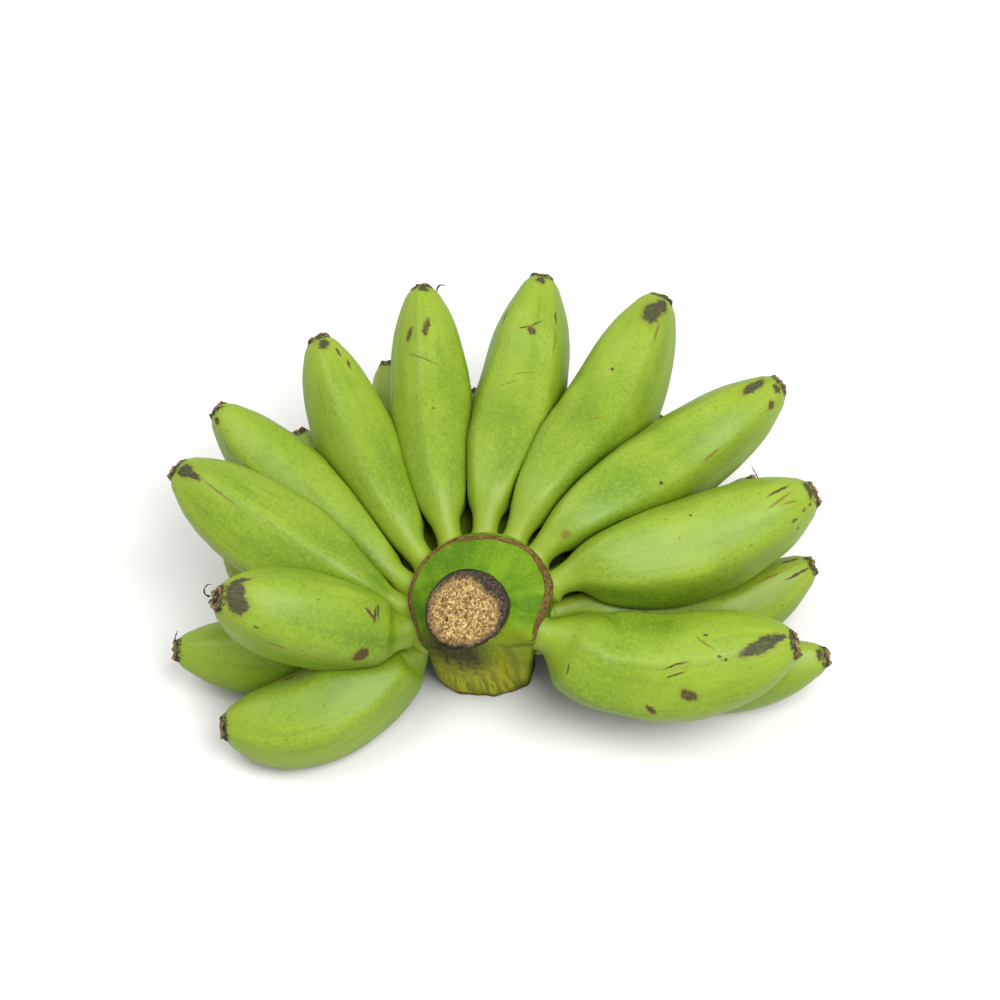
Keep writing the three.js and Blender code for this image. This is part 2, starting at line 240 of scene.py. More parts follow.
def waves(points, seed, size, count=7):
    """Soft random lumps over space, about -1 to 1: a sum of plane waves about size across."""
    draw = np.random.RandomState(seed)
    total = np.zeros(len(points))
    for _ in range(count):
        direction = unit(draw.normal(size=3))
        turns = draw.uniform(0.6, 1.6) * 2 * math.pi / size
        total += np.sin(points @ direction * turns + draw.uniform(0, 2 * math.pi))
    return total / math.sqrt(count / 2) / 1.6


def between(start, end, low, high, t):
    """The point that moves from start to end while t goes from low to high."""
    return ((high - t) * start + (t - low) * end) / (high - low)


def centripetal(points, samples):
    """The centripetal Catmull-Rom curve through points, sampled evenly, and its length."""
    points = [np.asarray(p, float) for p in points]
    padded = [2 * points[0] - points[1], *points, 2 * points[-1] - points[-2]]
    fine = []
    for k in range(1, len(padded) - 2):
        a, b, c, d = padded[k - 1:k + 3]
        steps = [np.linalg.norm(end - start) ** 0.5 for start, end in ((a, b), (b, c), (c, d))]
        k0, k1, k2, k3 = np.concatenate([[0], np.cumsum(steps)])
        t = np.linspace(k1, k2, SPAN_SAMPLES, endpoint=False)[:, None]
        ab = between(a, b, k0, k1, t)
        bc = between(b, c, k1, k2, t)
        cd = between(c, d, k2, k3, t)
        abc = between(ab, bc, k0, k2, t)
        bcd = between(bc, cd, k1, k3, t)
        fine.append(between(abc, bcd, k1, k2, t))
    fine = np.concatenate([*fine, points[-1][None]])
    travelled = np.concatenate([[0], np.cumsum(np.linalg.norm(np.diff(fine, axis=0), axis=1))])
    even = np.linspace(0, travelled[-1], samples)
    return np.stack([np.interp(even, travelled, fine[:, c]) for c in range(3)], axis=1), travelled[-1]


def soften(grid, passes):
    """Averages a ring-by-segment grid with its neighbours; segments wrap round."""
    for _ in range(passes):
        grid = 0.5 * grid + 0.25 * (np.roll(grid, 1, axis=1) + np.roll(grid, -1, axis=1))
        padded = np.concatenate([grid[:1], grid, grid[-1:]])
        grid = 0.5 * grid + 0.25 * (padded[:-2] + padded[2:])
    return grid


# -------------------- meshes and attributes


def add_object(name, data):
    thing = bpy.data.objects.new(name, data)
    bpy.context.scene.collection.objects.link(thing)
    return thing


def make_mesh(name, points, faces, material, node=None, values=None):
    """A piece of the object: a smooth mesh, in metres, that rides on the frame."""
    mesh = bpy.data.meshes.new(name)
    place = (np.asarray(points) - ORIGIN) * MM
    mesh.from_pydata(place.tolist(), [], faces)
    mesh.polygons.foreach_set("use_smooth", [True] * len(mesh.polygons))
    for key, data in (values or {}).items():
        data = np.asarray(data, np.float32)
        kind = "FLOAT_VECTOR" if data.ndim == 2 else "FLOAT"
        attribute = mesh.attributes.new(key, kind, "POINT")
        attribute.data.foreach_set("vector" if data.ndim == 2 else "value", data.ravel())
    mesh.materials.append(material)
    mesh.update()
    piece = add_object(name, mesh)
    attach(piece, "root")
    if node:
        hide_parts(node)


def ring_faces(rings, segments):
    """Quads over rings of points; the segments wrap round."""
    faces = []
    for k in range(rings - 1):
        for j in range(segments):
            a = k * segments + j
            b = k * segments + (j + 1) % segments
            faces.append((a, b, b + segments, a + segments))
    return faces


def with_poles(values, first=0.0, last=0.0):
    """The values of a capped grid's points: the grid's own, then those of its two poles."""
    return np.concatenate([np.ravel(values), [first, last]])


def capped(grid, first_pole, last_pole):
    """Points and faces of a ring-by-segment grid whose ends close in fans."""
    rings, segments, _ = grid.shape
    points = np.concatenate([grid.reshape(-1, 3), np.array([first_pole, last_pole])])
    pole = rings * segments
    end = pole - segments
    faces = ring_faces(rings, segments)
    faces += [(pole, (j + 1) % segments, j) for j in range(segments)]
    faces += [(pole + 1, end + j, end + (j + 1) % segments) for j in range(segments)]
    return points, faces


# -------------------- shader nodes


class Shader:
    """A material's node tree, with short calls for the nodes used here."""

    def __init__(self, name):
        self.material = bpy.data.materials.new(name)
        self.material.use_nodes = True
        self.tree = self.material.node_tree
        self.surface = self.tree.nodes["Principled BSDF"]

    def node(self, kind, **settings):
        node = self.tree.nodes.new(kind)
        for key, value in settings.items():
            setattr(node, key, value)
        return node

    def plug(self, socket, value):
        if isinstance(value, bpy.types.NodeSocket):
            self.tree.links.new(value, socket)
        elif value is not None:
            socket.default_value = value

    def fill(self, node, values):
        for key, value in values.items():
            self.plug(node.inputs[key], value)

    def value(self, name):
        return self.node("ShaderNodeAttribute", attribute_name=name).outputs["Fac"]

    def vector(self, name):
        return self.node("ShaderNodeAttribute", attribute_name=name).outputs["Vector"]

    def place(self):
        return self.node("ShaderNodeTexCoord").outputs["Object"]

    def math(self, operation, a, b):
        node = self.node("ShaderNodeMath", operation=operation)
        self.plug(node.inputs[0], a)
        self.plug(node.inputs[1], b)
        return node.outputs[0]

    def times(self, a, b):
        return self.math("MULTIPLY", a, b)

    def plus(self, a, b):
        return self.math("ADD", a, b)

    def minus(self, a, b):
        return self.math("SUBTRACT", a, b)

    def vector_math(self, operation, a, b=None, scale=None):
        node = self.node("ShaderNodeVectorMath", operation=operation)
        self.plug(node.inputs[0], a)
        self.plug(node.inputs[1], b)
        if scale is not None:
            self.plug(node.inputs["Scale"], scale)
        return node.outputs["Value" if operation == "LENGTH" else "Vector"]

    def ramp(self, value, low, high, to_low=0.0, to_high=1.0):
        node = self.node("ShaderNodeMapRange", interpolation_type="SMOOTHSTEP")
        self.plug(node.inputs["Value"], value)
        self.fill(node, {"From Min": low, "From Max": high, "To Min": to_low, "To Max": to_high})
        return node.outputs["Result"]

    def noise(self, vector, scale, detail=3.0, roughness=0.5, colour=False):
        node = self.node("ShaderNodeTexNoise")
        self.fill(node, {"Vector": vector, "Scale": scale, "Detail": detail, "Roughness": roughness})
        return node.outputs["Color" if colour else "Fac"]

    def cells(self, vector, scale):
        node = self.node("ShaderNodeTexVoronoi")
        self.fill(node, {"Vector": vector, "Scale": scale})
        return node.outputs["Distance"]

    def mix(self, share, a, b):
        node = self.node("ShaderNodeMix", data_type="RGBA")
        self.plug(node.inputs[0], share)
        self.plug(node.inputs[6], a)
        self.plug(node.inputs[7], b)
        return node.outputs[2]

    def stretch(self, vector, amounts):
        return self.vector_math("MULTIPLY", vector, amounts)

    def bump(self, height, strength, distance):
        node = self.node("ShaderNodeBump")
        self.fill(node, {"Strength": strength, "Distance": distance, "Height": height})
        self.plug(self.surface.inputs["Normal"], node.outputs["Normal"])

    def finish(self, colour, roughness, specular=0.5, coat=0.0, coat_roughness=0.3):
        self.fill(self.surface, {
            "Base Color": colour, "Roughness": roughness, "Specular IOR Level": specular,
            "Coat Weight": coat, "Coat Roughness": coat_roughness,
        })
        return self.material


def paint(red, green, blue):
    """A colour given as the eye reads it, 0 to 255, as the linear colour that shaders take."""
    shares = [c / 255 for c in (red, green, blue)]
    linear = [c / 12.92 if c <= 0.04045 else ((c + 0.055) / 1.055) ** 2.4 for c in shares]
    return (*linear, 1.0)


LIGHT_GREEN = paint(115, 137, 33)
MID_GREEN = paint(98, 124, 20)
DEEP_GREEN = paint(68, 98, 11)
NECK_GREEN = paint(112, 132, 28)
TIP_GREEN = paint(122, 140, 36)
BROWN = paint(54, 33, 19)
RUST = paint(86, 72, 22)
SAP_GREY = paint(40, 37, 30)
BLACK_BROWN = paint(32, 25, 18)
HALO = paint(104, 100, 20)  # the yellowed skin round a mark

# Each kind of mark: its colour, how strongly it covers, and how far its outline wanders, in metres
MARK_KINDS = [
    ("rust", RUST, 0.62, 0.002), ("brown", BROWN, 0.92, 0.0025),
    ("scab", BROWN, 0.9, 0.0055), ("sap", SAP_GREY, 0.92, 0.006),
]
MARK_EDGE = (1.15, 0.75)  # in shares of a mark's half size, where it starts and where it is full
HALO_EDGE = (1.7, 1.0)
HALO_SHARE = 0.45


def mark_reach(s, place, mark):
    """How far out from a mark's middle a place on the skin is, in shares of the mark's half size."""
    spot = s.node("ShaderNodeMapping", vector_type="TEXTURE")
    s.plug(spot.inputs["Vector"], place)
    spot.inputs["Location"].default_value = mark["centre"]
    spot.inputs["Rotation"].default_value = mark["turn"]
    spot.inputs["Scale"].default_value = mark["size"]
    return s.vector_math("LENGTH", spot.outputs["Vector"])


def peel_material(name, seed, marks):
    """Waxy green skin: soft clouds, painted shade in bands beside the ridges, specks, and this finger's
    own marks.
    """
    s = Shader(name)
    skin = s.vector_math("ADD", s.vector("skin_place"), (seed * 37.0, seed * 11.0, seed * 5.0))
    along = s.value("along")
    ridge = s.value("ridge")
    place = s.place()

    clouds = s.noise(s.stretch(skin, (1.0, 1.0, 0.6)), 0.055, 3.0)
    colour = s.mix(s.ramp(clouds, 0.35, 0.66, 0.15, 0.85), MID_GREEN, LIGHT_GREEN)
    colour = s.mix(s.times(s.ramp(along, 0.55, 0.3), 0.22), colour, DEEP_GREEN)
    streaks = s.noise(s.stretch(skin, (0.45, 0.45, 0.03)), 0.6, 3.0)
    colour = s.mix(s.ramp(streaks, 0.45, 0.75, 0.0, 0.3), colour, DEEP_GREEN)
    # painted shade: a darker green band beside the clearest ridge, strongest near the neck
    painted_ridge_shade = s.times(s.value("ridge_shade"), s.ramp(clouds, 0.3, 0.65, 0.85, 0.35))
    colour = s.mix(painted_ridge_shade, colour, DEEP_GREEN)
    mottles = s.noise(skin, 0.6, 4.0, 0.6)
    colour = s.mix(s.ramp(mottles, 0.48, 0.68, 0.0, 0.45), colour, LIGHT_GREEN)
    colour = s.mix(s.ramp(mottles, 0.48, 0.32, 0.0, 0.3), colour, DEEP_GREEN)

    neck = s.ramp(along, 0.2, 0.05)
    colour = s.mix(s.times(neck, 0.7), colour, NECK_GREEN)
    tip_yellow = s.times(s.ramp(along, 0.8, 0.98), 0.4)
    colour = s.mix(tip_yellow, colour, TIP_GREEN)

    specks = s.cells(skin, 0.16)
    chosen = s.noise(skin, 0.09, 1.0)
    speck = s.times(s.ramp(specks, 0.075, 0.045), s.ramp(chosen, 0.5, 0.56))
    colour = s.mix(s.times(speck, 0.7), colour, BROWN)
    freckles = s.cells(skin, 0.5)
    freckle = s.times(s.ramp(freckles, 0.16, 0.08), s.ramp(clouds, 0.45, 0.6))
    colour = s.mix(s.times(freckle, 0.25), colour, DEEP_GREEN)

    scratch_way = s.stretch(skin, (0.9, 0.16, 0.5))
    scratches = s.cells(scratch_way, 0.22)
    scratch_patch = s.ramp(s.noise(skin, 0.07, 2.0), 0.52, 0.6)
    scratch = s.times(s.ramp(scratches, 0.045, 0.02), scratch_patch)
    colour = s.mix(s.times(scratch, 0.6), colour, RUST)

    wear_breaks = s.ramp(s.noise(s.stretch(skin, (1.0, 1.0, 0.5)), 0.8, 4.0, 0.7), 0.58, 0.7)
    wear = s.times(s.ramp(ridge, 0.9, 0.99), wear_breaks)
    colour = s.mix(s.times(wear, 0.75), colour, RUST)

    ragged_edge = s.times(s.noise(place, 700.0, 4.0, 0.7), 0.05)
    end = s.ramp(s.plus(along, ragged_edge), 1.016, 1.026)
    colour = s.mix(s.times(end, 0.92), colour, BLACK_BROWN)

    rag = s.noise(place, 330.0, 6.0, 0.75, colour=True)
    rag = s.vector_math("SUBTRACT", rag, (0.5, 0.5, 0.5))
    grain = s.noise(s.stretch(skin, (1.0, 1.0, 0.22)), 1.5, 5.0, 0.7)
    dry = end
    for kind, shade, share, wander in MARK_KINDS:
        ragged_place = s.vector_math("ADD", place, s.vector_math("SCALE", rag, scale=wander))
        reaches = [mark_reach(s, ragged_place, mark) for mark in marks if mark["kind"] == kind]
        if not reaches:
            continue
        nearest = functools.reduce(lambda one, other: s.math("MINIMUM", one, other), reaches)
        mask = s.ramp(nearest, *MARK_EDGE)
        colour = s.mix(s.ramp(nearest, *HALO_EDGE, 0.0, HALO_SHARE), colour, HALO)
        worn = s.times(mask, s.ramp(grain, 0.66, 0.5, 0.66, 1.0))
        colour = s.mix(s.times(worn, share), colour, shade)
        dry = s.math("MAXIMUM", dry, mask)

    height = s.plus(s.times(s.noise(skin, 0.8, 3.0), 0.7), s.noise(skin, 3.0, 2.0))
    height = s.minus(height, s.times(s.math("MAXIMUM", speck, scratch), 0.8))
    s.bump(height, 0.2, 0.0003)
    roughness = s.ramp(mottles, 0.3, 0.75, 0.4, 0.52)
    roughness = s.plus(roughness, s.times(dry, 0.3))
    return s.finish(colour, roughness, specular=0.25, coat=0.04, coat_roughness=0.3)


CROWN_DARK = paint(62, 94, 14)
CROWN_GREEN = paint(88, 118, 22)
CROWN_LIGHT_SPECK = paint(108, 132, 30)
CROWN_DARK_SPECK = paint(60, 90, 16)
STUB_OLIVE = paint(106, 112, 15)
STUB_YELLOW = paint(150, 150, 26)
STUB_STREAK = paint(76, 60, 28)
STUB_SPECK = paint(84, 68, 32)
RIGHT_YELLOW = paint(124, 128, 18)
RIGHT_SHADE = paint(80, 96, 18)
SOOT_DARK = paint(38, 33, 24)
SOOT_LIGHT = paint(66, 60, 38)
RIM_BLACK = paint(32, 28, 23)
FOOT_BRUISE = paint(64, 50, 28)
# the painted shade in the crease just below the cork scar
CREASE_SHADE_GREEN = paint(44, 60, 14)


def crown_material():
    """The crown's skin: mottled green, a sap-stained stub with lengthwise streaks, a bruised foot, and
    painted shade in the crease below the cork scar.
    """
    s = Shader("crown_skin")
    skin = s.vector("skin_place")
    along = s.value("along")
    front = s.value("front")
    place = s.place()
    clouds = s.noise(skin, 0.1, 3.0)
    colour = s.mix(s.ramp(clouds, 0.35, 0.65), CROWN_DARK, CROWN_GREEN)
    fine = s.noise(place, 800.0, 4.0, 0.6)
    colour = s.mix(s.ramp(fine, 0.5, 0.7, 0.0, 0.35), colour, CROWN_LIGHT_SPECK)
    colour = s.mix(s.ramp(fine, 0.48, 0.3, 0.0, 0.35), colour, CROWN_DARK_SPECK)

    streaks = s.noise(s.stretch(skin, (1.0, 1.0, 0.09)), 0.42, 4.0, 0.6)
    stub = s.mix(s.ramp(streaks, 0.4, 0.6), STUB_OLIVE, STUB_YELLOW)
    stub = s.mix(s.ramp(streaks, 0.6, 0.72, 0.0, 0.7), stub, STUB_STREAK)
    stub = s.mix(s.ramp(fine, 0.52, 0.7, 0.0, 0.45), stub, STUB_SPECK)
    ragged = s.times(s.minus(s.noise(place, 260.0, 4.0, 0.65), 0.5), 30.0)
    ragged_along = s.plus(along, ragged)
    colour = s.mix(s.times(front, s.ramp(ragged_along, 62.0, 46.0, 0.45, 1.0)), colour, stub)

    run = s.times(s.minus(streaks, 0.5), 60.0)
    smudge = s.times(s.value("smudged"), s.ramp(s.plus(ragged_along, run), 30.0, 60.0))
    yellowed = s.times(s.value("right"), s.ramp(ragged_along, 80.0, 62.0, 0.2, 0.9))
    colour = s.mix(s.times(yellowed, 0.4), colour, RIGHT_YELLOW)
    shaded = s.times(s.value("right"), s.ramp(ragged_along, 62.0, 40.0, 0.0, 0.75))
    colour = s.mix(shaded, colour, RIGHT_SHADE)
    rim = s.ramp(s.plus(along, s.times(ragged, 0.22)), 71.4, 73.4)
    soot = s.mix(s.ramp(fine, 0.45, 0.6), SOOT_DARK, SOOT_LIGHT)
    colour = s.mix(s.times(smudge, 0.92), colour, soot)
    colour = s.mix(s.times(rim, 0.95), colour, RIM_BLACK)
    foot = s.times(s.ramp(ragged_along, 9.0, 1.0), 0.85)
    colour = s.mix(foot, colour, FOOT_BRUISE)

    # painted shade: a dark green line along the crease just below the cork scar
    crease_shade = s.value("crease_shade")
    colour = s.mix(s.times(crease_shade, 0.75), colour, CREASE_SHADE_GREEN)
    height = s.plus(fine, s.times(streaks, s.times(front, 1.5)))
    s.bump(height, 0.35, 0.0005)
    roughness = s.plus(0.55, s.times(s.math("MAXIMUM", smudge, rim), 0.3))
    return s.finish(colour, roughness, specular=0.05)


CORK_DARK = paint(54, 42, 20)
CORK_LIGHT = paint(98, 80, 42)
CORK_PALE_FLECK = paint(120, 101, 58)
CORK_DARK_FLECK = paint(36, 27, 13)


def cork_material():
    """The cork scar: dry brown, with fine fibres running along it."""
    s = Shader("cork_scar")
    skin = s.vector("skin_place")
    fibres = s.noise(s.stretch(skin, (0.5, 2.6, 2.6)), 1.1, 5.0, 0.65)
    colour = s.mix(s.ramp(fibres, 0.36, 0.6), CORK_DARK, CORK_LIGHT)
    flecks = s.noise(skin, 2.2, 4.0, 0.7)
    colour = s.mix(s.ramp(flecks, 0.56, 0.68, 0.0, 0.7), colour, CORK_PALE_FLECK)
    colour = s.mix(s.ramp(flecks, 0.44, 0.34, 0.0, 0.7), colour, CORK_DARK_FLECK)
    s.bump(s.plus(fibres, flecks), 0.7, 0.0005)
    return s.finish(colour, 0.9, specular=0.05)


FLESH_DARK = paint(120, 94, 46)
FLESH_TAN = paint(142, 116, 64)
FLESH_PALE = paint(184, 164, 116)
FLESH_FLECK = paint(78, 54, 26)
FLESH_PIT = paint(48, 33, 16)
FLESH_EDGE = paint(64, 47, 28)
CHAR_DARK = paint(26, 23, 20)
CHAR_GREY = paint(70, 60, 48)


def cut_material():
    """The cut face: tan fibre ends, flecked dark, inside a blackened rim."""
    s = Shader("cut_flesh")
    place = s.place()
    edge = s.value("edge")
    flecks = s.noise(place, 560.0, 4.0, 0.8)
    grains = s.noise(place, 900.0, 3.0, 0.8)
    soft = s.noise(place, 140.0, 3.0)
    colour = s.mix(s.ramp(soft, 0.35, 0.65), FLESH_DARK, FLESH_TAN)
    colour = s.mix(s.ramp(grains, 0.51, 0.58, 0.0, 0.9), colour, FLESH_PALE)
    colour = s.mix(s.ramp(flecks, 0.47, 0.41, 0.0, 0.85), colour, FLESH_FLECK)
    colour = s.mix(s.ramp(grains, 0.45, 0.36, 0.0, 0.8), colour, FLESH_PIT)
    brown = s.times(s.ramp(edge, -0.22, 0.0), s.ramp(flecks, 0.4, 0.6, 0.35, 0.9))
    colour = s.mix(brown, colour, FLESH_EDGE)
    ragged_edge = s.plus(edge, s.times(s.minus(flecks, 0.5), 0.4))
    black = s.ramp(ragged_edge, -0.03, 0.05)
    char = s.mix(s.ramp(grains, 0.45, 0.62), CHAR_DARK, CHAR_GREY)
    colour = s.mix(s.times(black, 0.94), colour, char)
    s.bump(s.plus(flecks, grains), 0.8, 0.0006)
    return s.finish(colour, 0.85, specular=0.25)


DRIED_DARK = paint(44, 35, 21)
DRIED_BROWN = paint(104, 86, 54)
DRIED_TAN = paint(150, 130, 90)
DRIED_HOLLOW = paint(26, 20, 14)


def dried_material(name, seed):
    """A dried flower end: torn brown-black tissue with tan edges."""
    s = Shader(name)
    place = s.vector_math("ADD", s.place(), (seed * 0.31, seed * 0.17, seed * 0.07))
    torn = s.noise(place, 420.0, 5.0, 0.7)
    fine = s.noise(place, 1300.0, 4.0, 0.7)
    crest = s.value("crest")
    colour = s.mix(s.ramp(torn, 0.42, 0.6), DRIED_DARK, DRIED_BROWN)
    tan = s.times(s.ramp(fine, 0.46, 0.58), s.ramp(crest, 0.15, 0.8, 0.3, 0.95))
    colour = s.mix(tan, colour, DRIED_TAN)
    colour = s.mix(s.ramp(crest, 0.3, 0.05, 0.0, 0.8), colour, DRIED_HOLLOW)
    s.bump(s.plus(torn, fine), 0.8, 0.0006)
    return s.finish(colour, 0.85, specular=0.2)


THREAD_BLACK = paint(22, 17, 12)
THREAD_BROWN = paint(52, 40, 26)


def thread_material():
    """Withered flower threads, nearly black."""
    s = Shader("thread_brown")
    torn = s.noise(s.place(), 900.0, 3.0)
    colour = s.mix(s.ramp(torn, 0.4, 0.6), THREAD_BLACK, THREAD_BROWN)
    return s.finish(colour, 0.8, specular=0.2)


# -------------------- the crown's surface

STEM_LENGTH = float(np.linalg.norm(STEM_TOP - STEM_FOOT))
CUT_ALONG = STEM_LENGTH - 0.6  # where the crown's skin ends, under the rim of the cut face
STEM_AXIS = unit(STEM_TOP - STEM_FOOT)
ACROSS_RIGHT = unit(np.array([1.0, 0, 0]) - STEM_AXIS[0] * STEM_AXIS)
ACROSS_BACK = np.cross(STEM_AXIS, ACROSS_RIGHT)


def stem_point(along):
    return STEM_FOOT + np.asarray(along)[..., None] * STEM_AXIS


def outward(around):
    around = np.asarray(around)
    return np.cos(around)[..., None] * ACROSS_RIGHT + np.sin(around)[..., None] * ACROSS_BACK


def turned_from(around, centre):
    """Radians from a direction given in degrees, -pi to pi."""
    return (around - math.radians(centre) + math.pi) % (2 * math.pi) - math.pi


def bump_at(around, centre, width):
    """1 in a direction given in degrees, falling to 0 over a width in degrees."""
    return np.exp(-((turned_from(around, centre) / math.radians(width)) ** 2))


def collar_reach(around):
    offset = COLLAR_CENTRE - STEM_FOOT
    e1 = offset @ ACROSS_RIGHT
    e2 = offset @ ACROSS_BACK
    ahead = e1 * np.cos(around) + e2 * np.sin(around)
    aside = e1 * np.sin(around) - e2 * np.cos(around)
    reach = ahead + np.sqrt(COLLAR_RADIUS ** 2 - aside ** 2)
    return reach - sum(by * bump_at(around, centre, width) for centre, by, width in TUCKS)


def crown_radius(around, along):
    around = np.asarray(around, float)
    along = np.asarray(along, float)
    stem = STEM_FOOT_RADIUS + (STEM_TOP_RADIUS - STEM_FOOT_RADIUS) * np.clip(along / STEM_LENGTH, 0, 1)
    away = np.abs(turned_from(around, (OPENING_FROM + OPENING_TO) / 2))
    half = math.radians((OPENING_TO - OPENING_FROM) / 2)
    full = half - math.radians(OPENING_FADE)
    grown = 1 - smoothstep(away, full, half)
    end = smoothstep(away, full - math.radians(END_SLOPE), full)
    low, high = [a + (b - a) * end for a, b in zip(FLARE, END_FLARE)]
    rise = FULLNESS * smoothstep(along, low, high) + (1 - FULLNESS) * smoothstep(along, high, SCAR_ALONG)
    # near the front the collar's edge slopes off softly
    ending = smoothstep(away, full - math.radians(12), full + math.radians(14))
    fall = 1 - smoothstep(along, SCAR_ALONG - 34 * ending, NECK_OUT + 3 * ending)
    return stem + (collar_reach(around) - stem) * rise * fall * grown


CROWN_RINGS = 110
CROWN_SEGMENTS = 200
FRONT = -90.0  # degrees around the stem that face away from the fingers


def stub_shape(around, along):
    """Millimetres added to the crown's radius: ribs and folds down the stub, and its uneven cut end."""
    ribs = 0.3 * np.sin(9 * around + 1.3) + 0.2 * np.sin(17 * around + along * 0.02)
    fold = 1.6 * bump_at(around, -62, 7) - 1.8 * bump_at(around, -46, 7)
    fold = fold * smoothstep(along, 14, 40) * (1 - smoothstep(along, 54, 70))
    corners = 3.6 * bump_at(around, -142, 24) + 2.4 * bump_at(around, -38, 24)
    corners = corners * (1 - smoothstep(along, 18, 48))
    front = smoothstep(np.cos(turned_from(around, FRONT)), 0.1, 0.6)
    uneven = 0.7 * np.sin(2 * around + 0.6) + 0.3 * np.sin(3 * around + 2)
    return ribs * front + fold + corners + uneven * smoothstep(along, 58, 74)


def crown_point(around, along, extra=0.0):
    """A point on the crown's skin, or extra millimetres outside it; the foot is cut level."""
    around, along = np.broadcast_arrays(np.asarray(around, float), np.asarray(along, float))
    radius = crown_radius(around, along) + stub_shape(around, along) + extra
    out = outward(around)
    point = stem_point(along) + out * radius[..., None]
    level = 1 - smoothstep(along, 0, 16)
    slide = -(out[..., 2] * radius) / STEM_AXIS[2] * level
    return point + slide[..., None] * STEM_AXIS


def build_crown():
    around = np.linspace(0, 2 * math.pi, CROWN_SEGMENTS, endpoint=False)[None, :]
    along = np.linspace(0, CUT_ALONG, CROWN_RINGS)[:, None]
    around, along = np.broadcast_arrays(around, along)
    grid = crown_point(around, along)
    lumps = waves(grid.reshape(-1, 3), 5, 17.0).reshape(along.shape) * 0.25
    grid = grid + outward(around) * (lumps * smoothstep(along, 2, 12))[..., None]
    grid[..., 2] = np.maximum(grid[..., 2], CLEAR)
    foot = stem_point(0.0) + [0, 0, CLEAR]
    points, faces = capped(grid, first_pole=foot, last_pole=stem_point(STEM_LENGTH - 1.2))
    in_scar = smoothstep(np.cos(turned_from(around, (SCAR_FROM + SCAR_TO) / 2)), -0.78, -0.6)
    # a thin line just below the cork scar where painted shade darkens the crease
    crease_shade = in_scar * np.exp(-(((along - SCAR_ALONG + 1.0) / 1.1) ** 2))
    front = smoothstep(np.cos(turned_from(around, FRONT)), 0.25, 0.8)
    right = bump_at(around, -30, 16) * smoothstep(along, 20, 50)
    smudged = np.clip(1.5 * bump_at(around, -112, 44), 0, 1)
    skin = np.stack([around * 22, np.zeros_like(around), along], axis=-1).reshape(-1, 3)
    values = {
        "along": with_poles(along, 0, STEM_LENGTH),
        "front": with_poles(front),
        "right": with_poles(right),
        "smudged": with_poles(smudged),
        "crease_shade": with_poles(crease_shade),
        "skin_place": np.concatenate([skin, np.zeros((2, 3))]),
    }
    make_mesh("crown_body", points, faces, crown_material(), "crown_and_stem", values)


SCAR_RINGS = 420
SCAR_SEGMENTS = 14


def build_cork_scar():
    """A raised strip of cork on the crown, just inside the necks, widest at the right."""
    share = np.linspace(0, 1, SCAR_RINGS)
    around = np.radians(SCAR_FROM + (SCAR_TO - SCAR_FROM) * share)
    ends = np.minimum(smoothstep(share, 0, 0.05), smoothstep(share, 1, 0.93))
    wide = 0.4 + 0.9 * bump_at(around, 6, 34) + 0.75 * bump_at(around, 184, 38)
    wander = 0.2 * np.sin(5 * around + 1) + 0.12 * np.sin(13 * around)
    turn = np.linspace(0, 2 * math.pi, SCAR_SEGMENTS, endpoint=False)
    aside = (wide * ends)[:, None] * np.cos(turn)[None, :] * 1.15
    above = np.maximum(0.15, 0.7 * ends + 0.1 * wide)[:, None] * np.sin(turn)[None, :]
    path_along = SCAR_ALONG + 1.2 + 1.0 * bump_at(around, 90, 50) + wander
    around_grid = np.repeat(around[:, None], SCAR_SEGMENTS, axis=1)
    surface = crown_point(around_grid, path_along[:, None] + aside)
    normal = unit(surface - stem_point(np.full_like(around_grid, SCAR_ALONG - 16.0)))
    grid = surface + normal * above[..., None]
    flat = grid.reshape(-1, 3)
    rough = waves(flat, 8, 2.2, 9) * 0.16 + waves(flat, 9, 6.0) * 0.14
    rough = rough.reshape(above.shape) * np.maximum(np.sin(turn), 0)[None, :] * ends[:, None]
    grid = grid + normal * rough[..., None]
    points, faces = capped(grid, first_pole=grid[0].mean(axis=0), last_pole=grid[-1].mean(axis=0))
    travelled = np.repeat(around * COLLAR_RADIUS, SCAR_SEGMENTS)
    skin = np.stack([travelled, aside.ravel(), above.ravel()], axis=1)
    skin = np.concatenate([skin, skin[[0, -1]]])
    make_mesh("cork_scar", points, faces, cork_material(), values={"skin_place": skin})


CUT_RINGS = 74
CUT_SEGMENTS = 190
CUT_SHARE = 0.86  # of the stem's radius that shows tan flesh
SKIRT_ALONG = STEM_LENGTH - 3.0  # how far down the cut face's rim is tucked inside the crown's skin


